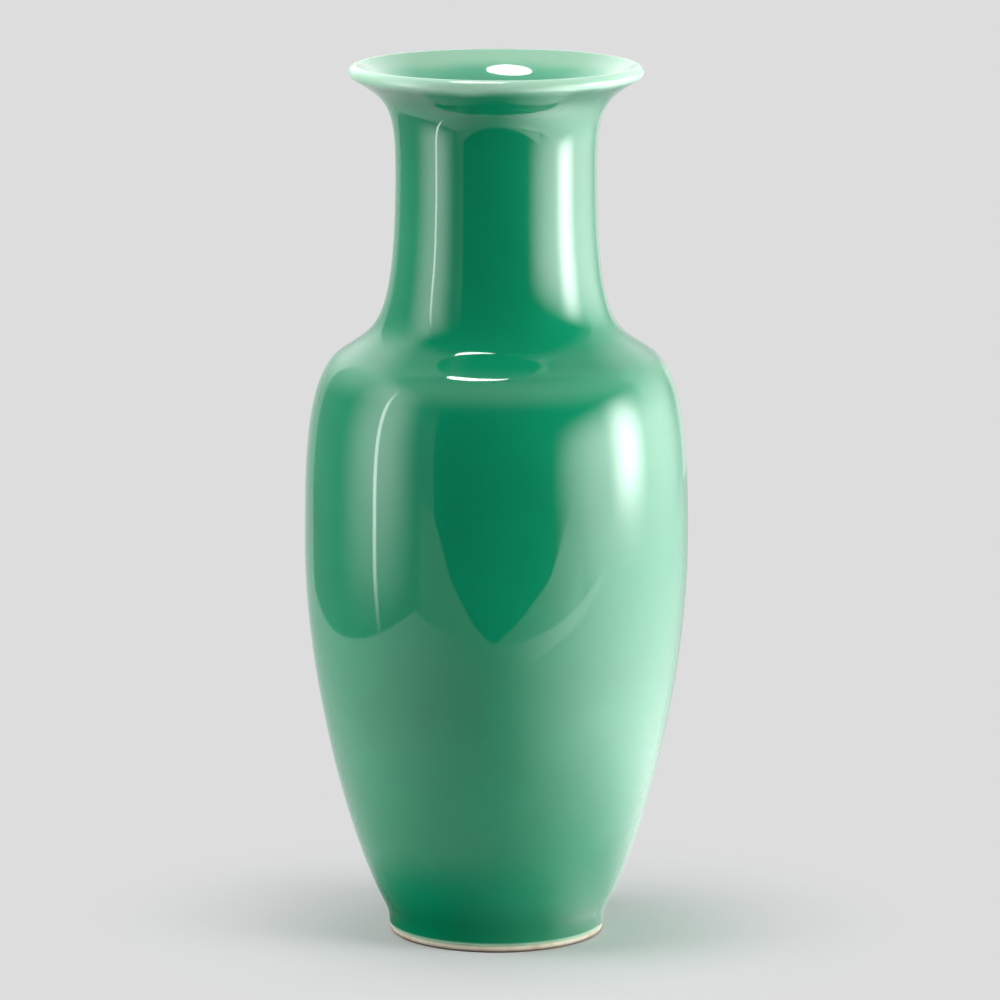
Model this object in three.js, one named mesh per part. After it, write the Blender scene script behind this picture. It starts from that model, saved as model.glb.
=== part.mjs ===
// Celadon vase: three thrown porcelain sections and a foot ring, luted with slip and glazed.
// Millimetres, +Z up. The origin is the centre of the circle that the foot stands on.
import * as THREE from 'three';

// Outside of the glaze, read from the foot up to the lip
const FOOT_RADIUS = 55.4;
const FOOT_RING_HEIGHT = 8.2;
const FOOT_FILLET = 1.6;
const BELLY_RADIUS = 98.5;
const BELLY_RISE = 192.0;
const SHOULDER_RADIUS = 80.0;
const SHOULDER_RISE = 96.4;
const NECK_RADIUS = 51.4;
const NECK_RISE = 92.0;
const LIP_RADIUS = 75.0;
const MOUTH_RISE = 53.1;

// Slopes of the outside, in degrees above the level
const TAPER_ANGLE = 60.0;
const SHOULDER_ANGLE = 33.2;
const FLARE_ANGLE = 30.8;

// How long each curve holds the direction of its end, as a share of its own rise
const TAPER_HOLD = 0.22;
const BELLY_HOLD_BELOW = 0.335;
const BELLY_HOLD_ABOVE = 0.5;
const SHOULDER_HOLD_BELOW = 0.2;
const SHOULDER_HOLD_ABOVE = 0.2;
const NECK_HOLD_BELOW = 0.86;
const NECK_HOLD_ABOVE = 0.62;
const FLARE_HOLD = 0.38;

// Walls, coats and joints
const WALL = 5.8;
const FLOOR = 9;
const FLOOR_CORNER = 16;
const FOOT_WIDTH = 9.8;
const TREAD_ROUND = 1.5;
const GLAZE = 0.6;
const GLAZE_EDGE = 4;
const SLIP = 0.8;
const LAP = 3;
const BOND = 0.05;

// Fineness of the faceted solids
const SIDES = 36;
const BODY_STEPS = 7;
const CURVE_STEPS = 5;
const NECK_STEPS = 6;
const FILLET_STEPS = 2;
const LIP_STEPS = 3;
const TREAD_STEPS = 2;
const CORNER_STEPS = 3;

// Depths below the outside of the glaze, measured square to it
const CLAY_OUTSIDE = GLAZE + BOND;
const CLAY_MIDDLE = CLAY_OUTSIDE + WALL / 2;
const CLAY_INSIDE = CLAY_OUTSIDE + WALL;
const INNER_COAT = CLAY_INSIDE + BOND;
const INSIDE = INNER_COAT + GLAZE;
const LIP_ROUND = CLAY_MIDDLE;
const SEAM = SLIP + LAP;

const UP = new THREE.Vector2(0, 1);
const QUARTER_TURN = Math.PI / 2;
const radians = THREE.MathUtils.degToRad;
const point = (radius, height) => new THREE.Vector2(radius, height);
const heading = (angle) => point(Math.cos(angle), Math.sin(angle));
const along = (start, direction, distance) => start.clone().addScaledVector(direction, distance);
const outwardOf = (direction) => point(direction.y, -direction.x);

// Turning points of the outline
const taper = heading(radians(TAPER_ANGLE));
const shoulderSlope = heading(2 * QUARTER_TURN - radians(SHOULDER_ANGLE));
const flare = heading(radians(FLARE_ANGLE));
const bodyStart = point(FOOT_RADIUS, FOOT_RING_HEIGHT + SLIP);
const footCorner = along(bodyStart, UP, FOOT_FILLET);
const taperStart = along(footCorner, taper, FOOT_FILLET);
const bellyLow = point(BELLY_RADIUS, footCorner.y + BELLY_RISE);
const bellyHigh = along(bellyLow, UP, SEAM);
const shoulderLow = point(SHOULDER_RADIUS, bellyHigh.y + SHOULDER_RISE);
const shoulderHigh = along(shoulderLow, shoulderSlope, SEAM);
const neckWaist = point(NECK_RADIUS, shoulderHigh.y + NECK_RISE);
const lipCentre = point(LIP_RADIUS - LIP_ROUND, neckWaist.y + MOUTH_RISE - LIP_ROUND);
const lipUnder = along(lipCentre, outwardOf(flare), LIP_ROUND);
const floorTop = bodyStart.y + FLOOR;

// Each curve leaves its start along one direction and reaches its end along another
function sweep(start, startDirection, startHold, end, endDirection, endHold) {
  const leave = along(start, startDirection, startHold);
  const arrive = along(end, endDirection, -endHold);
  return new THREE.CubicBezierCurve(start, leave, arrive, end);
}

const footFillet = new THREE.QuadraticBezierCurve(bodyStart, footCorner, taperStart);
const bodyCurve = sweep(
  taperStart, taper, TAPER_HOLD * BELLY_RISE,
  bellyLow, UP, BELLY_HOLD_BELOW * BELLY_RISE,
);
const shoulderCurve = sweep(
  bellyHigh, UP, BELLY_HOLD_ABOVE * SHOULDER_RISE,
  shoulderLow, shoulderSlope, SHOULDER_HOLD_BELOW * SHOULDER_RISE,
);
const neckCurve = sweep(
  shoulderHigh, shoulderSlope, SHOULDER_HOLD_ABOVE * NECK_RISE,
  neckWaist, UP, NECK_HOLD_BELOW * NECK_RISE,
);
const mouthCurve = sweep(
  neckWaist, UP, NECK_HOLD_ABOVE * MOUTH_RISE,
  lipUnder, flare, FLARE_HOLD * MOUTH_RISE,
);

// A station is a point of the outline with the direction that leads out of the wall there
function stations(curve, steps, first = 0) {
  return Array.from({ length: steps + 1 - first }, (_, step) => {
    const share = (step + first) / steps;
    return { place: curve.getPoint(share), outward: outwardOf(curve.getTangent(share)) };
  });
}

const filletStations = stations(footFillet, FILLET_STEPS);
const bodyStations = stations(bodyCurve, BODY_STEPS, 1);
const shoulderStations = stations(shoulderCurve, CURVE_STEPS);
const neckStations = [...stations(neckCurve, NECK_STEPS), ...stations(mouthCurve, CURVE_STEPS, 1)];

const layer = (list, depth) => list.map(({ place, outward }) => along(place, outward, -depth));
const layerDown = (list, depth) => layer(list, depth).reverse();

// Round edge from one angle to another, ends included
function arc(centre, radius, fromAngle, toAngle, steps) {
  return Array.from({ length: steps + 1 }, (_, step) => {
    const angle = THREE.MathUtils.lerp(fromAngle, toAngle, step / steps);
    return along(centre, heading(angle), radius);
  });
}

// The lip is rounded over from the underside of the flare, past its crest, to the inside of the mouth
const LIP_UNDERSIDE = radians(FLARE_ANGLE) - QUARTER_TURN;
const LIP_CREST = QUARTER_TURN;
const LIP_INSIDE = radians(FLARE_ANGLE) + QUARTER_TURN;
const lipArc = (depth, fromAngle, toAngle) => arc(lipCentre, LIP_ROUND - depth, fromAngle, toAngle, LIP_STEPS);

// Floor, rounded corner and the foot of the inner wall, read outward from the axis
function insideFloor(depth, height) {
  const { place, outward } = bodyStations[0];
  const wallStart = along(place, outward, -depth);
  const rise = point(-outward.y, outward.x);
  const corner = along(wallStart, rise, (height - wallStart.y) / rise.y);
  const floorEdge = point(corner.x - FLOOR_CORNER, height);
  const bend = new THREE.QuadraticBezierCurve(floorEdge, corner, wallStart);
  return [point(0, height), ...bend.getPoints(CORNER_STEPS).slice(0, -1)];
}

// Lapped joint on the straight run of the outline that starts at a seam's lower end
function lappedSeam(low, direction) {
  const at = (distance, depth) => along(along(low, direction, distance), outwardOf(direction), -depth);
  const tongueFace = CLAY_MIDDLE + SLIP / 2;
  const skirtFace = CLAY_MIDDLE - SLIP / 2;
  return {
    rimBelow: [at(0, CLAY_OUTSIDE), at(0, tongueFace), at(LAP, tongueFace), at(LAP, CLAY_INSIDE)],
    rimAbove: [at(SEAM, CLAY_INSIDE), at(SEAM, skirtFace), at(SLIP, skirtFace), at(SLIP, CLAY_OUTSIDE)],
    slip: [
      at(BOND, CLAY_OUTSIDE),
      at(SLIP - BOND, CLAY_OUTSIDE),
      at(SLIP - BOND, skirtFace + BOND),
      at(SEAM - BOND, skirtFace + BOND),
      at(SEAM - BOND, CLAY_INSIDE),
      at(LAP + BOND, CLAY_INSIDE),
      at(LAP + BOND, tongueFace - BOND),
      at(BOND, tongueFace - BOND),
    ],
  };
}

const bellySeam = lappedSeam(bellyLow, UP);
const shoulderSeam = lappedSeam(shoulderLow, shoulderSlope);

// Foot ring: flat tread with rounded edges, standing under the rim of the floor
const ringOutside = FOOT_RADIUS - CLAY_OUTSIDE;
const ringInside = ringOutside - FOOT_WIDTH;

const innerTread = point(ringInside + TREAD_ROUND, TREAD_ROUND);
const outerTread = point(ringOutside - TREAD_ROUND, TREAD_ROUND);

const footRing = [
  ...arc(innerTread, TREAD_ROUND, -2 * QUARTER_TURN, -QUARTER_TURN, TREAD_STEPS),
  ...arc(outerTread, TREAD_ROUND, -QUARTER_TURN, 0, TREAD_STEPS),
  point(ringOutside, FOOT_RING_HEIGHT),
  point(ringInside, FOOT_RING_HEIGHT),
];

const footSlip = [
  point(ringInside, FOOT_RING_HEIGHT + BOND),
  point(ringOutside, FOOT_RING_HEIGHT + BOND),
  point(ringOutside, bodyStart.y - BOND),
  point(ringInside, bodyStart.y - BOND),
];

// Thrown sections: a bowl with its floor, a shoulder and a neck with the mouth
const lowerBody = [
  point(0, bodyStart.y),
  ...layer(filletStations, CLAY_OUTSIDE),
  ...layer(bodyStations.slice(0, -1), CLAY_OUTSIDE),
  ...bellySeam.rimBelow,
  ...layerDown(bodyStations, CLAY_INSIDE),
  ...insideFloor(CLAY_INSIDE, floorTop).reverse(),
];

const upperBody = [
  ...bellySeam.rimAbove,
  ...layer(shoulderStations.slice(0, -1), CLAY_OUTSIDE),
  ...shoulderSeam.rimBelow,
  ...layerDown(shoulderStations, CLAY_INSIDE).slice(0, -1),
];

const neck = [
  ...shoulderSeam.rimAbove,
  ...layer(neckStations, CLAY_OUTSIDE),
  ...lipArc(CLAY_OUTSIDE, LIP_UNDERSIDE, LIP_CREST).slice(1),
  ...lipArc(CLAY_OUTSIDE, LIP_CREST, LIP_INSIDE).slice(1, -1),
  ...layerDown(neckStations, CLAY_INSIDE).slice(0, -1),
];

// Glaze coats: outside to the crest of the lip, inside from the crest to the floor, and under the floor
const wallStations = [...bodyStations, ...shoulderStations, ...neckStations];
const outsideStations = [...filletStations, ...wallStations];

const outerGlaze = [
  point(FOOT_RADIUS - GLAZE, GLAZE_EDGE),
  point(FOOT_RADIUS, GLAZE_EDGE + GLAZE),
  ...layer(outsideStations, 0),
  ...lipArc(0, LIP_UNDERSIDE, LIP_CREST).slice(1),
  ...lipArc(GLAZE, LIP_CREST, LIP_UNDERSIDE).slice(0, -1),
  ...layerDown(outsideStations, GLAZE),
];

const innerCrest = LIP_CREST + BOND / (LIP_ROUND - GLAZE);

const innerGlaze = [
  ...insideFloor(INNER_COAT, floorTop + BOND),
  ...layer(wallStations, INNER_COAT),
  ...lipArc(GLAZE, LIP_INSIDE, innerCrest).slice(1),
  ...lipArc(0, innerCrest, LIP_INSIDE).slice(0, -1),
  ...layerDown(wallStations, INSIDE),
  ...insideFloor(INSIDE, floorTop + BOND + GLAZE).reverse(),
];

const baseGlaze = [
  point(0, bodyStart.y - BOND - GLAZE),
  point(ringInside - BOND - GLAZE, bodyStart.y - BOND - GLAZE),
  point(ringInside - BOND, bodyStart.y - BOND),
  point(0, bodyStart.y - BOND),
];

// Finishes: dry fired clay and glossy glaze, none of them metal
const finish = (color, roughness) => new THREE.MeshStandardMaterial({ color, roughness, metalness: 0 });
const bareFoot = () => finish(0xe6dcc8, 0.85);
const porcelain = () => finish(0xe9e5da, 0.8);
const luting = () => finish(0xdad2c2, 0.85);
const celadon = () => finish(0x2f9f78, 0.08);
const paleCeladon = () => finish(0x86cba6, 0.1);

// Turns an outline about the axis; a ring's outline is closed, and a solid one ends on the axis
function turned(name, outline, material) {
  const onAxis = outline[0].x === 0;
  const loop = onAxis ? outline : [...outline, outline[0].clone()];
  const geometry = new THREE.LatheGeometry(loop, SIDES).rotateX(QUARTER_TURN);
  const mesh = new THREE.Mesh(geometry, material);
  mesh.name = name;
  return mesh;
}

const vase = new THREE.Group();
vase.name = 'celadon_vase';
vase.add(
  turned('foot_ring', footRing, bareFoot()),
  turned('foot_slip', footSlip, luting()),
  turned('lower_body', lowerBody, porcelain()),
  turned('belly_slip', bellySeam.slip, luting()),
  turned('upper_body', upperBody, porcelain()),
  turned('shoulder_slip', shoulderSeam.slip, luting()),
  turned('neck', neck, porcelain()),
  turned('outer_glaze', outerGlaze, celadon()),
  turned('inner_glaze', innerGlaze, paleCeladon()),
  turned('base_glaze', baseGlaze, celadon()),
);

export default vase;
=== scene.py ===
"""Celadon vase: smooth turned pieces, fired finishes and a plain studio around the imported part.

Lengths are in metres and +Z is up. The origin is the centre of the circle that the foot stands on,
and the camera looks along +Y.
"""

from __future__ import annotations

import logging
import math
from collections.abc import Callable, Iterable, Mapping, Sequence
from dataclasses import dataclass, field
from enum import Enum
from functools import cached_property
from typing import NamedTuple, Protocol

import bpy
from bpy.types import Material, NodeSocket, NodeTree, Object
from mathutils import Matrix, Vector


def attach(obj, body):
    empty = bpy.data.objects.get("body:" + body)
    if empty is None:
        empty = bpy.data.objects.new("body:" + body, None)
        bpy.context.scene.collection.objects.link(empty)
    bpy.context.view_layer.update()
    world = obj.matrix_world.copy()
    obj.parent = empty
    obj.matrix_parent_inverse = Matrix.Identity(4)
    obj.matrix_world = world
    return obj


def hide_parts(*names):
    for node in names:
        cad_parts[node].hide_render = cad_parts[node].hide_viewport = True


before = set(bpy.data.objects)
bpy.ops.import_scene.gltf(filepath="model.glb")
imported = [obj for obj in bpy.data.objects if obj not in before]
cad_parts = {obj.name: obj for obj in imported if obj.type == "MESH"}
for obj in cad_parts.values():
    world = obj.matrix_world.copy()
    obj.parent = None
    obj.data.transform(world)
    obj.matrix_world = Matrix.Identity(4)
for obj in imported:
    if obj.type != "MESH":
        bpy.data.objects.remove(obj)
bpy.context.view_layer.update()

LOG = logging.getLogger("celadon_vase")
MM = 0.001
BODY = "root"
UP = Vector((0.0, 1.0))
# Share of the way to a corner at which the handles of a round bend lie.
BEND_HANDLE = 2 / 3
# Octaves of a slow, even pattern and of a more broken one.
EVEN_NOISE = 1
BROKEN_NOISE = 2
# The sRGB curve: a straight run near black, then a power curve.
SRGB_FULL = 255
SRGB_RUN_END = 0.04045
SRGB_RUN_SLOPE = 12.92
SRGB_OFFSET = 0.055
SRGB_POWER = 2.4

Colour = tuple[float, float, float, float]
SocketValue = NodeSocket | float | tuple[float, float, float] | Colour


def linear(sheet_colour: str) -> Colour:
    """Turns an sRGB hex colour into the linear colour that the shaders take.

    Args:
        sheet_colour: Colour such as "#1FA37A".

    Returns:
        Red, green, blue and an alpha of one.
    """
    shares = (channel / SRGB_FULL for channel in bytes.fromhex(sheet_colour.lstrip("#")))
    red, green, blue = (
        share / SRGB_RUN_SLOPE
        if share <= SRGB_RUN_END
        else ((share + SRGB_OFFSET) / (1.0 + SRGB_OFFSET)) ** SRGB_POWER
        for share in shares
    )
    return red, green, blue, 1.0


def per_metre(feature: float) -> float:
    """Texture scale that gives a pattern features of this size in metres."""
    return 1.0 / feature


def add_node(
    tree: NodeTree, kind: str, inputs: Mapping[str, SocketValue] | None = None, **settings: str
) -> dict[str, NodeSocket]:
    """Adds a node with its settings, input values and links.

    Args:
        tree: Node tree that takes the node.
        kind: Blender's name of the node type, without its ShaderNode at the start.
        inputs: Input sockets by identifier, each with a value or the socket it is linked to.
        **settings: Properties of the node itself.

    Returns:
        The node's output sockets by identifier.
    """
    node = tree.nodes.new(f"ShaderNode{kind}")
    for name, value in settings.items():
        setattr(node, name, value)
    sockets = {socket.identifier: socket for socket in node.inputs}
    for identifier, value in (inputs or {}).items():
        if isinstance(value, NodeSocket):
            tree.links.new(value, sockets[identifier])
        else:
            sockets[identifier].default_value = value
    return {socket.identifier: socket for socket in node.outputs}


class Slot(Enum):
    """Material slots."""

    BARE_PORCELAIN = "bare_porcelain"
    LUTING_SLIP = "luting_slip"
    PORCELAIN_BODY = "porcelain_body"
    CELADON_OUTSIDE = "celadon_outside"
    CELADON_INSIDE = "celadon_inside"


class Finish(Protocol):
    """A surface that names its material and builds its nodes."""

    @property
    def name(self) -> str:
        """Name of the material."""

    def shader(self, tree: NodeTree, place: NodeSocket) -> NodeSocket:
        """Adds the nodes that lead from the place on the surface to its shader."""


def material_of(finish: Finish) -> Material:
    """Makes the material of a finish, which reads Object coordinates.

    Args:
        finish: The finish.

    Returns:
        The material.
    """
    made = bpy.data.materials.new(finish.name)
    made.use_nodes = True
    tree = made.node_tree
    tree.nodes.clear()
    place = add_node(tree, "TexCoord")["Object"]
    add_node(tree, "OutputMaterial", {"Surface": finish.shader(tree, place)})
    return made


@dataclass(frozen=True)
class CeladonGlaze:
    """Celadon, a clear iron-green glass over white porcelain, dipped and fired to a full gloss.

    It gives the eye sharp reflections over an even green that pales where the glaze runs thin, on
    the lip, a little on the bend of the shoulder and at its edge above the foot, and deepens where
    it gathers.
    """

    name: str
    body: str
    gathered: str
    thin: str
    speck: str = "#2E3A22"
    roughness: float = 0.045
    refraction: float = 1.52
    lip_height: float = 446 * MM
    lip_fade: float = 5.5 * MM
    bend_height: float = 296 * MM
    bend_spread: float = 11 * MM
    bend_share: float = 0.15
    edge_height: float = 4 * MM
    edge_fade: float = 1.5 * MM
    gathering: float = 34 * MM
    cloud_size: float = 70 * MM
    cloud_clear: float = 0.3
    cloud_full: float = 1.2
    drift_size: float = 22 * MM
    drift: float = 3 * MM
    speck_spacing: float = 38 * MM
    speck_radius: float = 0.35 * MM
    ripple_size: float = 2.4 * MM
    ripple_depth: float = 0.0016 * MM

    def shader(self, tree: NodeTree, place: NodeSocket) -> NodeSocket:
        """Builds the glaze, with its tone set by thickness, slow clouds, specks and a faint ripple.

        Args:
            tree: Node tree of the material.
            place: Socket with the place on the piece.

        Returns:
            Socket of the shader.
        """
        deep, thin = self._thickness(tree, place)
        specks = self._specks(tree, place)
        colour: SocketValue = linear(self.body)
        for share, over in ((deep, self.gathered), (thin, self.thin), (specks, self.speck)):
            colour = add_node(
                tree,
                "Mix",
                {"Factor_Float": share, "A_Color": colour, "B_Color": linear(over)},
                data_type="RGBA",
            )["Result_Color"]
        ripple = add_node(
            tree,
            "TexNoise",
            {"Vector": place, "Scale": per_metre(self.ripple_size), "Detail": EVEN_NOISE},
        )
        bump = add_node(tree, "Bump", {"Height": ripple["Fac"], "Distance": self.ripple_depth})
        shader = add_node(
            tree,
            "BsdfPrincipled",
            {
                "Base Color": colour,
                "Roughness": self.roughness,
                "IOR": self.refraction,
                "Normal": bump["Normal"],
            },
        )
        return shader["BSDF"]

    def _thickness(self, tree: NodeTree, place: NodeSocket) -> tuple[NodeSocket, NodeSocket]:
        """How far the glaze lies deep or thin, from its height on the vase and from slow clouds.

        Args:
            tree: Node tree of the material.
            place: Socket with the place on the piece.

        Returns:
            Sockets with the share of gathered glaze and with the share of thin glaze.
        """
        height = add_node(tree, "SeparateXYZ", {"Vector": place})["Z"]
        cloud, wander = (
            add_node(
                tree, "TexNoise", {"Vector": place, "Scale": per_metre(feature), "Detail": octaves}
            )["Fac"]
            for feature, octaves in ((self.cloud_size, BROKEN_NOISE), (self.drift_size, EVEN_NOISE))
        )
        shift = add_node(
            tree, "MapRange", {"Value": wander, "To Min": -self.drift / 2, "To Max": self.drift / 2}
        )
        drifted = add_node(
            tree, "Math", {"Value": shift["Result"], "Value_001": height}, operation="ADD"
        )
        on_lip, on_edge, over_bend, under_bend, pooled, clouded = (
            add_node(
                tree,
                "MapRange",
                {"Value": value, "From Min": none, "From Max": full, "To Max": most},
                interpolation_type="SMOOTHSTEP",
            )["Result"]
            for value, none, full, most in (
                (drifted["Value"], self.lip_height - self.lip_fade, self.lip_height, 1.0),
                (height, self.edge_height + self.edge_fade, self.edge_height, 1.0),
                (height, self.bend_height + self.bend_spread, self.bend_height, self.bend_share),
                (height, self.bend_height - self.bend_spread, self.bend_height, self.bend_share),
                (drifted["Value"], self.edge_height + self.gathering, self.edge_height, 1.0),
                (cloud, self.cloud_clear, self.cloud_full, 1.0),
            )
        )
        on_bend = add_node(
            tree, "Math", {"Value": over_bend, "Value_001": under_bend}, operation="MINIMUM"
        )
        deep = add_node(tree, "Math", {"Value": pooled, "Value_001": clouded}, operation="MAXIMUM")
        thin = on_bend["Value"]
        for worn_thin in (on_lip, on_edge):
            thin = add_node(
                tree, "Math", {"Value": thin, "Value_001": worn_thin}, operation="MAXIMUM"
            )["Value"]
        return deep["Value"], thin

    def _specks(self, tree: NodeTree, place: NodeSocket) -> NodeSocket:
        """The few iron specks that fired celadon shows.

        Args:
            tree: Node tree of the material.
            place: Socket with the place on the piece.

        Returns:
            Socket that is 1 inside a speck and 0 elsewhere.
        """
        cells = add_node(tree, "TexVoronoi", {"Vector": place, "Scale": per_metre(self.speck_spacing)})
        radius = self.speck_radius / self.speck_spacing
        spot = add_node(
            tree,
            "MapRange",
            {"Value": cells["Distance"], "From Min": radius, "From Max": radius / 2},
            interpolation_type="SMOOTHSTEP",
        )
        return spot["Result"]


@dataclass(frozen=True)
class BarePorcelain:
    """Unglazed porcelain, turned smooth and fired dry.

    It gives the eye a matt cream with a fine grain, green with a haze of glaze at its upper edge and
    painted dark brown shade where it meets what it stands on.
    """

    name: str = "unglazed_porcelain"
    cream: str = "#DDD3BE"
    toasted: str = "#C6B08F"
    haze: str = "#86B294"
    # Dark brown painted as shade along the tread, where the foot meets the floor.
    contact_shade: str = "#4E3C29"
    roughness: float = 0.78
    refraction: float = 1.5
    # Height up to which the painted shade reaches above the floor.
    contact_shade_height: float = 2.7 * MM
    haze_clear: float = 2.2 * MM
    haze_full: float = 4.4 * MM
    # Coarser than the real grain, which is too fine to show.
    grain_size: float = 0.9 * MM
    grain_depth: float = 0.02 * MM
    toast_size: float = 9 * MM
    toast_clear: float = 0.42
    toast_full: float = 0.75

    def shader(self, tree: NodeTree, place: NodeSocket) -> NodeSocket:
        """Builds the bare clay, with toasted patches, painted shade along the tread and a fine grain.

        Args:
            tree: Node tree of the material.
            place: Socket with the place on the piece.

        Returns:
            Socket of the shader.
        """
        height = add_node(tree, "SeparateXYZ", {"Vector": place})["Z"]
        patches, grain = (
            add_node(
                tree, "TexNoise", {"Vector": place, "Scale": per_metre(feature), "Detail": BROKEN_NOISE}
            )["Fac"]
            for feature in (self.toast_size, self.grain_size)
        )
        toasting, hazed, contact_shaded = (
            add_node(
                tree,
                "MapRange",
                {"Value": value, "From Min": clear, "From Max": full},
                interpolation_type="SMOOTHSTEP",
            )["Result"]
            for value, clear, full in (
                (patches, self.toast_clear, self.toast_full),
                (height, self.haze_clear, self.haze_full),
                # Share of the painted shade: full at the floor, gone at its height.
                (height, self.contact_shade_height, 0.0),
            )
        )
        colour: SocketValue = linear(self.cream)
        for share, over in ((toasting, self.toasted), (hazed, self.haze), (contact_shaded, self.contact_shade)):
            colour = add_node(
                tree,
                "Mix",
                {"Factor_Float": share, "A_Color": colour, "B_Color": linear(over)},
                data_type="RGBA",
            )["Result_Color"]
        bump = add_node(tree, "Bump", {"Height": grain, "Distance": self.grain_depth})
        shader = add_node(
            tree,
            "BsdfPrincipled",
            {
                "Base Color": colour,
                "Roughness": self.roughness,
                "IOR": self.refraction,
                "Normal": bump["Normal"],
            },
        )
        return shader["BSDF"]


@dataclass(frozen=True)
class FiredClay:
    """Porcelain or slip under the glaze, fired white and dry, as thrown.

    It gives the eye a matt white with slow tones, where a break would show it.
    """

    name: str
    white: str
    shade: str
    roughness: float = 0.8
    tone_size: float = 12 * MM
    tone_clear: float = 0.3
    tone_full: float = 0.7

    def shader(self, tree: NodeTree, place: NodeSocket) -> NodeSocket:
        """Builds the clay, with two close tones.

        Args:
            tree: Node tree of the material.
            place: Socket with the place on the piece.

        Returns:
            Socket of the shader.
        """
        tones = add_node(
            tree,
            "TexNoise",
            {"Vector": place, "Scale": per_metre(self.tone_size), "Detail": BROKEN_NOISE},
        )
        share = add_node(
            tree,
            "MapRange",
            {"Value": tones["Fac"], "From Min": self.tone_clear, "From Max": self.tone_full},
            interpolation_type="SMOOTHSTEP",
        )
        colour = add_node(
            tree,
            "Mix",
            {
                "Factor_Float": share["Result"],
                "A_Color": linear(self.white),
                "B_Color": linear(self.shade),
            },
            data_type="RGBA",
        )
        shader = add_node(
            tree, "BsdfPrincipled", {"Base Color": colour["Result_Color"], "Roughness": self.roughness}
        )
        return shader["BSDF"]


class Station(NamedTuple):
    """A point of the outline and the direction that leads out of the wall there."""

    place: Vector
    outward: Vector


def heading(angle: float) -> Vector:
    """Direction at this angle above the level, outward from the axis."""
    return Vector((math.cos(angle), math.sin(angle)))


def outward_of(direction: Vector) -> Vector:
    """Direction square to the outline, out of the wall."""
    return Vector((direction.y, -direction.x))


def arc(centre: Vector, radius: float, start: float, end: float, steps: int) -> list[Vector]:
    """Points of a round edge.

    Args:
        centre: Centre of the round.
        radius: Its radius.
        start: Angle of the first point.
        end: Angle of the last point.
        steps: Number of steps between them.

    Returns:
        The points, both ends included.
    """
    turn = (end - start) / steps
    return [centre + heading(start + turn * step) * radius for step in range(steps + 1)]


@dataclass(frozen=True)
class Sweep:
    """Curve of the outline that leaves its start and reaches its end along given directions."""

    start: Vector
    leave: Vector
    arrive: Vector
    end: Vector
    steps: int

    def stations(self) -> list[Station]:
        """Stations from the start to the end, both included."""
        return [self._station(step / self.steps) for step in range(self.steps + 1)]

    def _station(self, share: float) -> Station:
        """Station at a share of the way along the curve.

        Args:
            share: 0 at the start and 1 at the end.

        Returns:
            The point and its outward direction.
        """
        left = 1.0 - share
        place = (
            self.start * left**3
            + self.leave * 3 * left**2 * share
            + self.arrive * 3 * left * share**2
            + self.end * share**3
        )
        tangent = (
            (self.leave - self.start) * left**2
            + (self.arrive - self.leave) * 2 * left * share
            + (self.end - self.arrive) * share**2
        )
        return Station(place, outward_of(tangent.normalized()))


def layer(stations: Iterable[Station], depth: float) -> list[Vector]:
    """Points that lie this deep below the outside of the glaze."""
    return [station.place - station.outward * depth for station in stations]


def layer_down(stations: Iterable[Station], depth: float) -> list[Vector]:
    """The same points, read downward."""
    return layer(stations, depth)[::-1]


@dataclass(frozen=True)
class Wall:
    """Thicknesses of the clay, its coats and its joints."""

    clay: float = 5.8 * MM
    glaze: float = 0.6 * MM
    bond: float = 0.05 * MM
    slip: float = 0.8 * MM
    lap: float = 3.0 * MM
    floor: float = 9.0 * MM
    floor_corner: float = 16.0 * MM

    @property
    def clay_outside(self) -> float:
        """Depth of the clay's outside below the outside of the glaze."""
        return self.glaze + self.bond

    @property
    def clay_middle(self) -> float:
        """Depth of the middle of the clay."""
        return self.clay_outside + self.clay / 2

    @property
    def clay_inside(self) -> float:
        """Depth of the clay's inside."""
        return self.clay_outside + self.clay

    @property
    def inner_coat(self) -> float:
        """Depth of the back of the inner glaze."""
        return self.clay_inside + self.bond

    @property
    def inside(self) -> float:
        """Depth of the free face of the inner glaze."""
        return self.inner_coat + self.glaze

    @property
    def seam(self) -> float:
        """Length of a lapped seam along the outline."""
        return self.slip + self.lap


class LappedSeam(NamedTuple):
    """Outlines that meet in a lapped joint."""

    rim_below: list[Vector]
    rim_above: list[Vector]
    slip: list[Vector]


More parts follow.
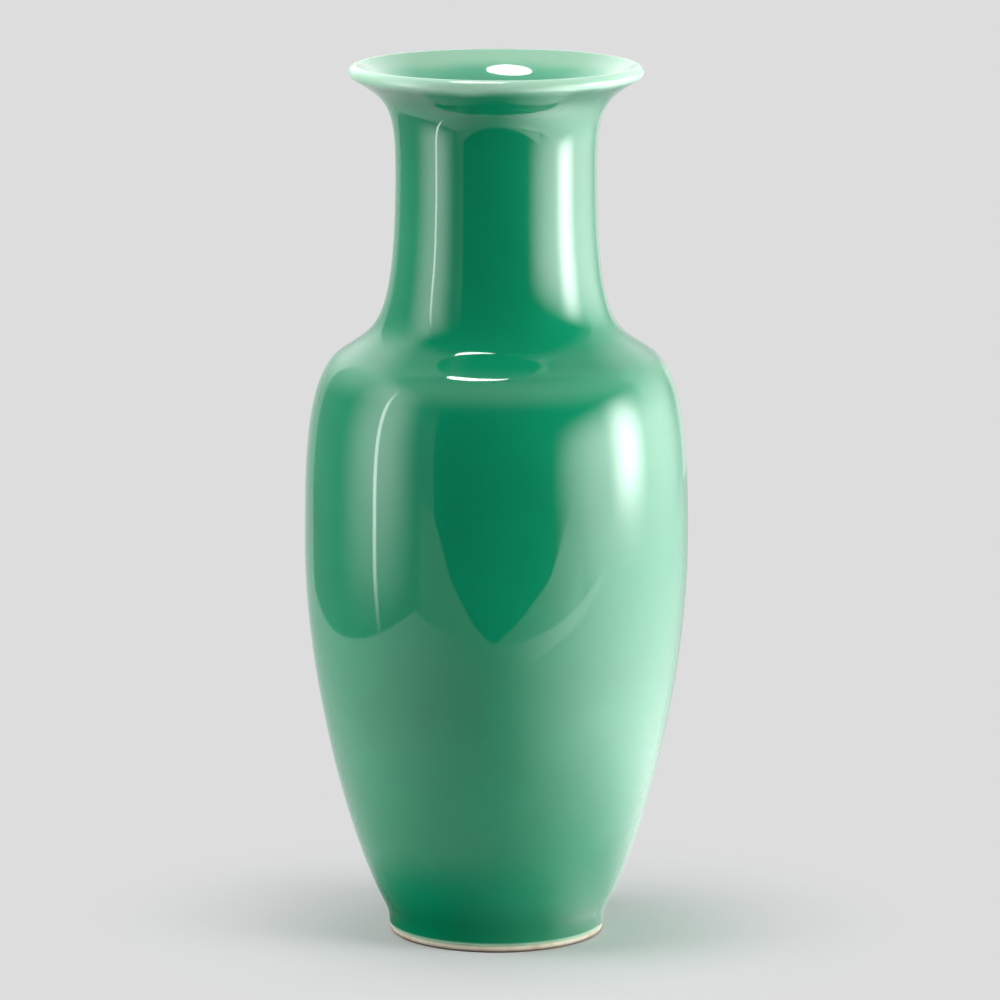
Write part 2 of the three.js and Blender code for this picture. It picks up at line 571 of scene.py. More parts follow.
@dataclass(frozen=True)
class VaseOutline:
    """Half outline of the vase, as radius and height, from the foot to the lip."""

    wall: Wall = field(default_factory=Wall)
    foot_radius: float = 55.4 * MM
    foot_ring_height: float = 8.2 * MM
    foot_fillet: float = 1.6 * MM
    belly_radius: float = 98.5 * MM
    belly_rise: float = 192.0 * MM
    shoulder_radius: float = 80.0 * MM
    shoulder_rise: float = 96.4 * MM
    neck_radius: float = 51.4 * MM
    neck_rise: float = 92.0 * MM
    lip_radius: float = 75.0 * MM
    mouth_rise: float = 53.1 * MM
    glaze_edge: float = 4.0 * MM
    taper_angle: float = math.radians(60.0)
    shoulder_angle: float = math.radians(33.2)
    flare_angle: float = math.radians(30.8)
    taper_hold: float = 0.22
    belly_hold_below: float = 0.335
    belly_hold_above: float = 0.5
    shoulder_hold: float = 0.2
    neck_hold_below: float = 0.86
    neck_hold_above: float = 0.62
    flare_hold: float = 0.38
    fillet_steps: int = 8
    body_steps: int = 48
    shoulder_steps: int = 32
    neck_steps: int = 34
    mouth_steps: int = 24
    lip_steps: int = 14
    corner_steps: int = 10

    @cached_property
    def taper(self) -> Vector:
        """Direction of the wall where it leaves the foot."""
        return heading(self.taper_angle)

    @cached_property
    def shoulder_slope(self) -> Vector:
        """Direction of the wall across the shoulder seam."""
        return heading(math.pi - self.shoulder_angle)

    @cached_property
    def flare(self) -> Vector:
        """Direction of the wall where it meets the lip."""
        return heading(self.flare_angle)

    @cached_property
    def body_start(self) -> Vector:
        """Outside of the wall at the underside of the floor."""
        return Vector((self.foot_radius, self.foot_ring_height + self.wall.slip))

    @cached_property
    def foot_corner(self) -> Vector:
        """Corner that the foot fillet rounds off."""
        return self.body_start + UP * self.foot_fillet

    @cached_property
    def belly_low(self) -> Vector:
        """Lower end of the straight run at the widest part."""
        return Vector((self.belly_radius, self.foot_corner.y + self.belly_rise))

    @cached_property
    def belly_high(self) -> Vector:
        """Upper end of the straight run at the widest part."""
        return self.belly_low + UP * self.wall.seam

    @cached_property
    def shoulder_low(self) -> Vector:
        """Lower end of the straight run on the shoulder."""
        return Vector((self.shoulder_radius, self.belly_high.y + self.shoulder_rise))

    @cached_property
    def shoulder_high(self) -> Vector:
        """Upper end of the straight run on the shoulder."""
        return self.shoulder_low + self.shoulder_slope * self.wall.seam

    @cached_property
    def neck_waist(self) -> Vector:
        """Narrowest point of the neck."""
        return Vector((self.neck_radius, self.shoulder_high.y + self.neck_rise))

    @cached_property
    def lip_round(self) -> float:
        """Radius of the lip, half of the glazed wall."""
        return self.wall.clay_middle

    @cached_property
    def lip_centre(self) -> Vector:
        """Centre of the lip's round."""
        crest = self.neck_waist.y + self.mouth_rise
        return Vector((self.lip_radius - self.lip_round, crest - self.lip_round))

    @cached_property
    def floor_top(self) -> float:
        """Height of the clay floor inside."""
        return self.body_start.y + self.wall.floor

    @cached_property
    def fillet(self) -> list[Station]:
        """Stations of the small round between the foot and the taper."""
        end = self.foot_corner + self.taper * self.foot_fillet
        return self.foot_bend(self.body_start, end)

    def foot_bend(self, start: Vector, end: Vector) -> list[Station]:
        """Stations of a round from the foot's side to the taper.

        Args:
            start: Its lower end, below the corner of the foot.
            end: Its upper end, on the taper.

        Returns:
            The stations, both ends included.
        """
        leave = start.lerp(self.foot_corner, BEND_HANDLE)
        arrive = end.lerp(self.foot_corner, BEND_HANDLE)
        return Sweep(start, leave, arrive, end, self.fillet_steps).stations()

    @cached_property
    def body(self) -> list[Station]:
        """Stations of the tapered body, above its first one on the fillet."""
        start = self.foot_corner + self.taper * self.foot_fillet
        leave = start + self.taper * self.taper_hold * self.belly_rise
        arrive = self.belly_low - UP * self.belly_hold_below * self.belly_rise
        return Sweep(start, leave, arrive, self.belly_low, self.body_steps).stations()[1:]

    @cached_property
    def shoulder(self) -> list[Station]:
        """Stations from the widest part to the shoulder seam."""
        hold = self.shoulder_hold * self.shoulder_rise
        leave = self.belly_high + UP * self.belly_hold_above * self.shoulder_rise
        arrive = self.shoulder_low - self.shoulder_slope * hold
        sweep = Sweep(self.belly_high, leave, arrive, self.shoulder_low, self.shoulder_steps)
        return sweep.stations()

    @cached_property
    def neck(self) -> list[Station]:
        """Stations from the shoulder seam over the neck to the underside of the lip."""
        leave = self.shoulder_high + self.shoulder_slope * self.shoulder_hold * self.neck_rise
        arrive = self.neck_waist - UP * self.neck_hold_below * self.neck_rise
        rise = Sweep(self.shoulder_high, leave, arrive, self.neck_waist, self.neck_steps)
        lip_under = self.lip_centre + outward_of(self.flare) * self.lip_round
        leave = self.neck_waist + UP * self.neck_hold_above * self.mouth_rise
        arrive = lip_under - self.flare * self.flare_hold * self.mouth_rise
        mouth = Sweep(self.neck_waist, leave, arrive, lip_under, self.mouth_steps)
        return rise.stations() + mouth.stations()[1:]

    @cached_property
    def walls(self) -> list[Station]:
        """Stations of the wall from the taper to the lip."""
        return self.body + self.shoulder + self.neck

    def lip_outside(self, depth: float) -> list[Vector]:
        """Round of the lip from its underside to its crest, this deep below the glaze."""
        start = self.flare_angle - math.pi / 2
        return arc(self.lip_centre, self.lip_round - depth, start, math.pi / 2, self.lip_steps)

    def lip_inside(self, depth: float, gap: float = 0.0) -> list[Vector]:
        """Round of the lip from its crest to the inside of the mouth.

        Args:
            depth: Depth below the glaze.
            gap: Distance from the crest to the first point.

        Returns:
            The points, both ends included.
        """
        start = math.pi / 2 + gap / self.lip_round
        end = self.flare_angle + math.pi / 2
        return arc(self.lip_centre, self.lip_round - depth, start, end, self.lip_steps)

    def floor_inside(self, depth: float, height: float) -> list[Vector]:
        """Floor and rounded corner below the inner wall, read outward from the axis.

        Args:
            depth: Depth of the wall's face below the outside of the glaze.
            height: Height of the floor's face.

        Returns:
            The points, without the first one of the wall.
        """
        first = self.body[0]
        wall_start = first.place - first.outward * depth
        rise = Vector((-first.outward.y, first.outward.x))
        corner = wall_start + rise * ((height - wall_start.y) / rise.y)
        edge = Vector((corner.x - self.wall.floor_corner, height))
        leave = edge.lerp(corner, BEND_HANDLE)
        arrive = wall_start.lerp(corner, BEND_HANDLE)
        bend = Sweep(edge, leave, arrive, wall_start, self.corner_steps).stations()
        return [Vector((0.0, height))] + [station.place for station in bend[:-1]]

    def lapped_seam(self, low: Vector, direction: Vector) -> LappedSeam:
        """Lapped joint on a straight run of the outline.

        Args:
            low: Lower end of the run.
            direction: Direction of the run.

        Returns:
            The rims of both sections and the slip between them.
        """
        wall = self.wall
        bond, slip, lap, seam = wall.bond, wall.slip, wall.lap, wall.seam
        outside, inside = wall.clay_outside, wall.clay_inside
        tongue = wall.clay_middle + slip / 2
        skirt = wall.clay_middle - slip / 2
        inward = -outward_of(direction)

        def along(*points: tuple[float, float]) -> list[Vector]:
            """Points by their distance along the run and their depth below it."""
            return [low + direction * distance + inward * depth for distance, depth in points]

        return LappedSeam(
            rim_below=along((0.0, outside), (0.0, tongue), (lap, tongue), (lap, inside)),
            rim_above=along((seam, inside), (seam, skirt), (slip, skirt), (slip, outside)),
            slip=along(
                (bond, outside), (slip - bond, outside),
                (slip - bond, skirt + bond), (seam - bond, skirt + bond),
                (seam - bond, inside), (lap + bond, inside),
                (lap + bond, tongue - bond), (bond, tongue - bond),
            ),
        )


def added(operator: Callable[..., set[str]], name: str, **settings: object) -> Object:
    """Adds an object with one of Blender's operators and leaves it alone in the selection.

    Args:
        operator: Operator that adds the object.
        name: Name of the object.
        **settings: Settings of the operator.

    Returns:
        The new object.
    """
    bpy.ops.object.select_all(action="DESELECT")
    operator(**settings)
    made = bpy.context.object
    made.name = name
    return made


@dataclass(frozen=True)
class Wheel:
    """The turning of an outline into a closed piece."""

    sides: int = 192
    weld: float = 0.001 * MM
    crease: float = math.radians(38.0)

    def turn(
        self, name: str, outline: Sequence[Vector], faces: Mapping[str, range] | None = None
    ) -> Object:
        """Draws an outline beside the axis and spins it once round.

        Args:
            name: Name of the piece.
            outline: Closed outline of a ring, or an open one with both ends on the axis.
            faces: Vertex groups to mark, each with the outline's points in it.

        Returns:
            The turned piece.
        """
        piece = added(bpy.ops.curve.primitive_bezier_curve_add, name)
        piece.data.splines.clear()
        line = piece.data.splines.new("POLY")
        line.points.add(len(outline) - 1)
        for dot, place in zip(line.points, outline):
            dot.co = (place.x, 0.0, place.y, 1.0)
        line.use_cyclic_u = outline[0].x > self.weld
        bpy.ops.object.convert(target="MESH")
        piece.data.name = name
        for face, points in (faces or {}).items():
            piece.vertex_groups.new(name=face).add(list(points), 1.0, "REPLACE")
        bpy.ops.object.mode_set(mode="EDIT")
        bpy.ops.mesh.select_all(action="SELECT")
        bpy.ops.mesh.spin(steps=self.sides, angle=math.tau, center=(0, 0, 0), axis=(0, 0, 1))
        bpy.ops.mesh.select_all(action="SELECT")
        bpy.ops.mesh.remove_doubles(threshold=self.weld)
        bpy.ops.mesh.normals_make_consistent(inside=False)
        bpy.ops.object.mode_set(mode="OBJECT")
        bpy.ops.object.shade_smooth_by_angle(angle=self.crease)
        return piece


class Waver(Enum):
    """Direction in which a fired surface wanders off its turned form."""

    OUT_OF_ROUND = "NORMAL"
    UP_AND_DOWN = "Z"


def let_waver(piece: Object, face: str, waver: Waver, feature: float, reach: float) -> None:
    """Moves a face of a turned piece slightly off its true form, as hand and kiln do.

    Args:
        piece: The turned piece.
        face: Vertex group that moves.
        waver: Direction of the movement.
        feature: Size of one swell along the surface.
        reach: Full movement, half of it to each side.
    """
    cloud = bpy.data.textures.new(f"{piece.name}_{face}", "CLOUDS")
    cloud.noise_scale = feature
    cloud.noise_depth = EVEN_NOISE
    swell = piece.modifiers.new(cloud.name, "DISPLACE")
    swell.texture = cloud
    swell.texture_coords = "LOCAL"
    swell.direction = waver.value
    swell.vertex_group = face
    swell.strength = reach
    bpy.ops.object.select_all(action="DESELECT")
    piece.select_set(True)
    bpy.context.view_layer.objects.active = piece
    bpy.ops.object.modifier_apply(modifier=swell.name)


def fit_to_frame(piece: Object, node: str, finish: Finish) -> Object:
    """Dresses a piece and puts it in the place of its CAD node.

    Args:
        piece: The turned piece.
        node: CAD node that it stands for.
        finish: Its fired surface.

    Returns:
        The same piece.
    """
    piece.data.materials.clear()
    piece.data.materials.append(material_of(finish))
    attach(piece, BODY)
    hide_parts(node)
    return piece


@dataclass
class Foot:
    """Foot ring with its slip, and the glaze under the floor."""

    outline: VaseOutline
    wheel: Wheel
    width: float = 9.8 * MM
    tread_round: float = 1.5 * MM
    tread_steps: int = 8
    bare: BarePorcelain = BarePorcelain()

    @property
    def outside(self) -> float:
        """Outer radius of the ring."""
        return self.outline.foot_radius - self.outline.wall.clay_outside

    @property
    def inside(self) -> float:
        """Inner radius of the ring."""
        return self.outside - self.width

    def build_ring(self) -> Object:
        """Turns the ring, with both edges of its tread rounded.

        Returns:
            The ring.
        """
        inner = Vector((self.inside + self.tread_round, self.tread_round))
        outer = Vector((self.outside - self.tread_round, self.tread_round))
        quarter = math.pi / 2
        ring = [
            *arc(inner, self.tread_round, -2 * quarter, -quarter, self.tread_steps),
            *arc(outer, self.tread_round, -quarter, 0.0, self.tread_steps),
            Vector((self.outside, self.outline.foot_ring_height)),
            Vector((self.inside, self.outline.foot_ring_height)),
        ]
        return self.wheel.turn("turned_foot_ring", ring)

    def build_slip(self) -> Object:
        """Turns the flat luting layer on top of the ring.

        Returns:
            The luting layer.
        """
        low = self.outline.foot_ring_height + self.outline.wall.bond
        high = self.outline.body_start.y - self.outline.wall.bond
        corners = ((self.inside, low), (self.outside, low), (self.outside, high), (self.inside, high))
        return self.wheel.turn("foot_luting", [Vector(corner) for corner in corners])

    def build_base_glaze(self) -> Object:
        """Turns the round coat of glaze under the floor.

        Returns:
            The coat.
        """
        wall = self.outline.wall
        top = self.outline.body_start.y - wall.bond
        edge = Vector((self.inside - wall.bond - wall.glaze, top))
        rim = arc(edge, wall.glaze, -math.pi / 2, 0.0, self.tread_steps)
        coat = [Vector((0.0, top - wall.glaze)), *rim, Vector((0.0, top))]
        return self.wheel.turn("base_glaze_coat", coat)

    def dress(self, slip: Finish, glaze: Finish) -> list[Object]:
        """Builds the pieces and puts them in the frame.

        Args:
            slip: Finish of the luting layer.
            glaze: Finish of the coat under the floor.

        Returns:
            The ring, its slip and the coat.
        """
        return [
            fit_to_frame(self.build_ring(), "foot_ring", self.bare),
            fit_to_frame(self.build_slip(), "foot_slip", slip),
            fit_to_frame(self.build_base_glaze(), "base_glaze", glaze),
        ]


@dataclass
class ThrownBody:
    """Three thrown sections, luted with slip in two lapped seams."""

    outline: VaseOutline
    wheel: Wheel
    belly: LappedSeam = field(init=False)
    shoulder: LappedSeam = field(init=False)

    def __post_init__(self) -> None:
        """Works out both seams."""
        shape = self.outline
        self.belly = shape.lapped_seam(shape.belly_low, UP)
        self.shoulder = shape.lapped_seam(shape.shoulder_low, shape.shoulder_slope)

    def build_lower_body(self) -> Object:
        """Turns the bowl from its floor to the widest part.

        Returns:
            The section.
        """
        shape, wall = self.outline, self.outline.wall
        bowl = [
            Vector((0.0, shape.body_start.y)),
            *layer(shape.fillet, wall.clay_outside),
            *layer(shape.body[:-1], wall.clay_outside),
            *self.belly.rim_below,
            *layer_down(shape.body, wall.clay_inside),
            *shape.floor_inside(wall.clay_inside, shape.floor_top)[::-1],
        ]
        return self.wheel.turn("thrown_lower_body", bowl)

    def build_upper_body(self) -> Object:
        """Turns the section from the widest part to the shoulder.

        Returns:
            The section.
        """
        shape, wall = self.outline, self.outline.wall
        section = [
            *self.belly.rim_above,
            *layer(shape.shoulder[:-1], wall.clay_outside),
            *self.shoulder.rim_below,
            *layer_down(shape.shoulder, wall.clay_inside)[:-1],
        ]
        return self.wheel.turn("thrown_upper_body", section)

    def build_neck(self) -> Object:
        """Turns the neck with its mouth and rounded lip.

        Returns:
            The section.
        """
        shape, wall = self.outline, self.outline.wall
        section = [
            *self.shoulder.rim_above,
            *layer(shape.neck, wall.clay_outside),
            *shape.lip_outside(wall.clay_outside)[1:],
            *shape.lip_inside(wall.clay_outside)[1:-1],
            *layer_down(shape.neck, wall.clay_inside)[:-1],
        ]
        return self.wheel.turn("thrown_neck", section)

    def dress(self, clay: Finish, slip: Finish) -> list[Object]:
        """Builds the sections and their slip and puts them in the frame.

        Args:
            clay: Finish of the sections.
            slip: Finish of the slip in the seams.

        Returns:
            The three sections, then the slip of both seams.
        """
        belly = self.wheel.turn("belly_luting", self.belly.slip)
        shoulder = self.wheel.turn("shoulder_luting", self.shoulder.slip)
        return [
            fit_to_frame(self.build_lower_body(), "lower_body", clay),
            fit_to_frame(self.build_upper_body(), "upper_body", clay),
            fit_to_frame(self.build_neck(), "neck", clay),
            fit_to_frame(belly, "belly_slip", slip),
            fit_to_frame(shoulder, "shoulder_slip", slip),
        ]


@dataclass
class GlazeCoats:
    """Celadon outside, from above the tread to the crest of the lip, and inside from there down."""

    outline: VaseOutline
    wheel: Wheel
    edge_steps: int = 5
    gathering: float = 4.8 * MM
    swell_size: float = 55 * MM
    swell_reach: float = 0.42 * MM
    edge_swell_size: float = 14 * MM
    edge_swell_reach: float = 0.9 * MM

    def gathered_face(self) -> list[Vector]:
        """Outside of the outer coat below the lip, with the glaze gathered above the foot.

        Returns:
            The points, from the foot up.
        """
        shape = self.outline
        end = shape.foot_corner + shape.taper * self.gathering
        bend = shape.foot_bend(shape.foot_corner - UP * self.gathering, end)
        above = [station for station in shape.walls if station.place.y > end.y]
        return layer(bend + above, 0.0)

    def build_outer(self) -> Object:
        """Turns the outer coat, with a rounded lower edge that wanders a little.

        Returns:
            The coat.
        """
        shape, wall = self.outline, self.outline.wall
        stations = shape.fillet + shape.walls
        edge_centre = Vector((shape.foot_radius - wall.glaze, shape.glaze_edge + wall.glaze))
        edge = arc(edge_centre, wall.glaze, -math.pi / 2, 0.0, self.edge_steps)
        face = [*self.gathered_face(), *shape.lip_outside(0.0)[1:]]
        back = [*shape.lip_outside(wall.glaze)[:0:-1], *layer_down(stations, wall.glaze)]
        marks = {"face": range(len(edge), len(edge) + len(face)), "edge": range(len(edge))}
        coat = self.wheel.turn("outer_glaze_coat", [*edge, *face, *back], marks)
        let_waver(coat, "face", Waver.OUT_OF_ROUND, self.swell_size, self.swell_reach)
        let_waver(coat, "edge", Waver.UP_AND_DOWN, self.edge_swell_size, self.edge_swell_reach)
        return coat

    def build_inner(self) -> Object:
        """Turns the inner coat, from the crest of the lip to the floor.

        Returns:
            The coat.
        """
        shape, wall = self.outline, self.outline.wall
        floor = shape.floor_top + wall.bond
        back = [
            *shape.floor_inside(wall.inner_coat, floor),
            *layer(shape.walls, wall.inner_coat),
            *shape.lip_inside(wall.glaze, wall.bond)[-2::-1],
        ]
        face = [
            *shape.lip_inside(0.0, wall.bond)[:-1],
            *layer_down(shape.walls, wall.inside),
            *shape.floor_inside(wall.inside, floor + wall.glaze)[::-1],
        ]
        marks = {"face": range(len(back), len(back) + len(face))}
        coat = self.wheel.turn("inner_glaze_coat", [*back, *face], marks)
        let_waver(coat, "face", Waver.OUT_OF_ROUND, self.swell_size, self.swell_reach)
        return coat

    def dress(self, outside: Finish, inside: Finish) -> list[Object]:
        """Builds both coats and puts them in the frame.

        Args:
            outside: Finish of the outer coat.
            inside: Finish of the inner coat.

        Returns:
            The outer and the inner coat.
        """
        return [
            fit_to_frame(self.build_outer(), "outer_glaze", outside),
            fit_to_frame(self.build_inner(), "inner_glaze", inside),
        ]


# Corner of a light card: its azimuth in degrees and its height.
Corner = tuple[float, float]


class Fade(NamedTuple):
    """Heights between which light on a card goes from none to full."""

    clear: float
    full: float


# Lower end of a glow that runs the whole height of its card.
FULL_HEIGHT = Fade(-2.0, -1.0)


class Glow(NamedTuple):
    """Upright band of brighter light on a card: its azimuth, half width, level and lower end."""

    azimuth: float
    half_width: float
    level: float
    foot: Fade = FULL_HEIGHT


@dataclass(frozen=True)
class LightCard:
    """Upright card that shows in the glaze alone, as a softbox does in a studio.

    Azimuths are in degrees about the vase, from the camera's side toward +X.
    """

    name: str
    azimuth: float
    distance: float
    corners: tuple[Corner, ...]
    level: float
    glows: tuple[Glow, ...] = ()
    fades: tuple[Fade, ...] = ()

    def across(self, azimuth: float) -> float:
        """Distance of an azimuth from the card's upright middle line, along the card."""
        return self.distance * math.tan(math.radians(azimuth - self.azimuth))

    def build(self) -> Object:
        """Stands the card square to its azimuth.

        Returns:
            The card.
        """
        turn = math.radians(self.azimuth)
        card = added(
            bpy.ops.mesh.primitive_circle_add,
            self.name,
            vertices=len(self.corners),
            fill_type="NGON",
            location=(self.distance * math.sin(turn), -self.distance * math.cos(turn), 0.0),
            rotation=(math.pi / 2, 0.0, turn),
        )
        for vertex, (azimuth, height) in zip(card.data.vertices, self.corners):
            vertex.co = (self.across(azimuth), height, 0.0)
        card.data.materials.append(material_of(self))
        show_in_glaze_alone(card)
        return card

    def shader(self, tree: NodeTree, place: NodeSocket) -> NodeSocket:
        """Builds the card's light, brighter along its glows and clear where it fades.

        Args:
            tree: Node tree of the material.
            place: Socket with the place on the card.

        Returns:
            Socket of the shader.
        """
        axes = add_node(tree, "SeparateXYZ", {"Vector": place})
        strength: SocketValue = self.level
        for glow in self.glows:
            away = add_node(
                tree,
                "Math",
                {"Value": axes["X"], "Value_001": self.across(glow.azimuth)},
                operation="SUBTRACT",
            )
            apart = add_node(tree, "Math", {"Value": away["Value"]}, operation="ABSOLUTE")
            band, raised = (
                add_node(
                    tree,
                    "MapRange",
                    {"Value": value, "From Min": none, "From Max": full, "To Max": most},
                    interpolation_type="SMOOTHSTEP",
                )["Result"]
                for value, none, full, most in (
                    (apart["Value"], glow.half_width, 0.0, 1.0), (axes["Y"], *glow.foot, glow.level)
                )
            )
            strength = add_node(
                tree,
                "Math",
                {"Value": band, "Value_001": raised, "Value_002": strength},
                operation="MULTIPLY_ADD",
            )["Value"]
        light = add_node(tree, "Emission", {"Strength": strength})["Emission"]
        clear = add_node(tree, "BsdfTransparent")["BSDF"]
        for fade in self.fades:
            share = add_node(
                tree,
                "MapRange",
                {"Value": axes["Y"], "From Min": fade.clear, "From Max": fade.full},
                interpolation_type="SMOOTHSTEP",
            )
            light = add_node(
                tree, "MixShader", {"Fac": share["Result"], "Shader": clear, "Shader_001": light}
            )["Shader"]
        return light


@dataclass(frozen=True)
class FloorCard:
    """Card on the floor that shows in the glaze alone, fullest along one azimuth of the vase.

    Its start and full are distances from the axis. A level of 0 makes it a dark card.
    """

    name: str
    azimuth: float
    half_angle: float
    level: float
    start: float
    full: float
    reach: float
    front: float
    lift: float = 0.5 * MM

    def build(self) -> Object:
        """Lays the card just above the floor, around the vase and cut off in front of it.

        Returns:
            The card.
        """
        place = (0.0, 0.0, self.lift)
        card = added(bpy.ops.mesh.primitive_plane_add, self.name, size=2 * self.reach, location=place)
        for vertex in card.data.vertices:
            vertex.co.y = max(vertex.co.y, -self.front)
        card.data.materials.append(material_of(self))
        show_in_glaze_alone(card)
        return card

    def shader(self, tree: NodeTree, place: NodeSocket) -> NodeSocket:
        """Builds the card's light, which grows from its start to its full and toward its azimuth.

        Args:
            tree: Node tree of the material.
            place: Socket with the place on the card.

        Returns:
            Socket of the shader.
        """
        turn = math.pi / 2 - math.radians(self.azimuth)
        turned = add_node(tree, "Mapping", {"Vector": place, "Rotation": (0.0, 0.0, turn)})["Vector"]
        axes = add_node(tree, "SeparateXYZ", {"Vector": turned})
        bearing = add_node(
            tree, "Math", {"Value": axes["Y"], "Value_001": axes["X"]}, operation="ARCTAN2"
        )
        apart = add_node(tree, "Math", {"Value": bearing["Value"]}, operation="ABSOLUTE")
        away = add_node(tree, "VectorMath", {"Vector": turned}, operation="LENGTH")
        toward, out = (
            add_node(
                tree,
                "MapRange",
                {"Value": value, "From Min": none, "From Max": full},
                interpolation_type="SMOOTHSTEP",
            )["Result"]
            for value, none, full in (
                (apart["Value"], math.radians(self.half_angle), 0.0),
                (away["Value"], self.start, self.full),
            )
        )
        share = add_node(tree, "Math", {"Value": toward, "Value_001": out}, operation="MULTIPLY")
        light = add_node(tree, "Emission", {"Strength": self.level})
        clear = add_node(tree, "BsdfTransparent")
        surface = add_node(
            tree,
            "MixShader",
            {"Fac": share["Value"], "Shader": clear["BSDF"], "Shader_001": light["Emission"]},
        )
        return surface["Shader"]


def show_in_glaze_alone(card: Object) -> None:
    """Keeps a card out of all light but mirror reflections.

    Args:
        card: The card.
    """
    card.visible_camera = False
    card.visible_diffuse = False
    card.visible_shadow = False


def upright(start: float, end: float, bottom: float, top: float) -> tuple[Corner, ...]:
    """Corners of a card with level edges, between two azimuths and two heights."""
    return (start, bottom), (end, bottom), (end, top), (start, top)


@dataclass(frozen=True)
class SoftLight:
    """Wide square light that falls on the vase without showing in its glaze."""

    name: str
    place: tuple[float, float, float]
    size: float
    power: float
    aim: tuple[float, float, float] = (0.0, 0.0, 0.2)

    def hang(self) -> Object:
        """Hangs the light, turned to the vase.

        Returns:
            The light.
        """
        place = Vector(self.place)
        light = added(bpy.ops.object.light_add, self.name, type="AREA", location=place)
        light.rotation_euler = (place - Vector(self.aim)).to_track_quat("Z", "Y").to_euler()
        light.data.size = self.size
        light.data.energy = self.power
        light.visible_glossy = False
        return light


@dataclass(frozen=True)
class PalePaper:
    """Pale matt paper, rolled out under the vase.

    It gives the eye the vase's soft shadow near the foot and an even tone further off.
    """

    name: str = "pale_paper"
    lit: str = "#CFCFD0"
    even: str = "#DDDDDE"
    shadow_start: float = 0.075
    shadow_reach: float = 0.23

    def shader(self, tree: NodeTree, place: NodeSocket) -> NodeSocket:
        """Builds the paper, lit near the vase and seen in one even tone further off.

        Args:
            tree: Node tree of the material.
            place: Socket with the place on the floor.

        Returns:
            Socket of the shader.
        """
        lit = add_node(tree, "BsdfDiffuse", {"Color": linear(self.lit)})
        even = add_node(tree, "Emission", {"Color": linear(self.even)})
        away = add_node(tree, "VectorMath", {"Vector": place}, operation="LENGTH")
        far = add_node(
            tree,
            "MapRange",
            {"Value": away["Value"], "From Min": self.shadow_start, "From Max": self.shadow_reach},
            interpolation_type="SMOOTHSTEP",
        )
        ray = add_node(tree, "LightPath")
        seen = add_node(
            tree,
            "Math",
            {"Value": ray["Is Camera Ray"], "Value_001": ray["Is Glossy Ray"]},
            operation="MAXIMUM",
        )
        evened = add_node(
            tree, "Math", {"Value": far["Result"], "Value_001": seen["Value"]}, operation="MULTIPLY"
        )
        surface = add_node(
            tree,
            "MixShader",
            {"Fac": evened["Value"], "Shader": lit["BSDF"], "Shader_001": even["Emission"]},
        )
        return surface["Shader"]


